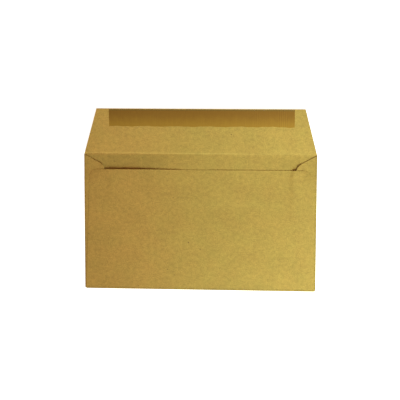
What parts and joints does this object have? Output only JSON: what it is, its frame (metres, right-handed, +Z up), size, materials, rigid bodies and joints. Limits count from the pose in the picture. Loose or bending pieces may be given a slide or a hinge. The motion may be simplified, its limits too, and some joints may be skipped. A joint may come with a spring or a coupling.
{
  "type": "paper envelope",
  "caption": "Small manila wallet envelope folded from a paper sheet and lying open, its gummed closing flap raised at the crease and its side flaps glued under the back panel.",
  "frame": {"origin": "middle of the address panel's outer face, which lies on the table; the middle is halfway between the side folds and halfway between the bottom fold and the closing flap's crease", "axes": "+X along the width, to the right when the gummed side is seen from above; +Y from the bottom fold towards the closing flap; +Z up, out of the table"},
  "size_m": [0.152, 0.1189, 0.0043],
  "materials": {
    "manila_paper": "matte",
    "dried_gum": "satin",
    "seam_glue": "satin"
  },
  "bodies": {
    "root": {"envelope_blank": "manila_paper", "flap_gum": "dried_gum", "seam_glue_left": "seam_glue", "seam_glue_right": "seam_glue"}
  },
  "joints": []
}
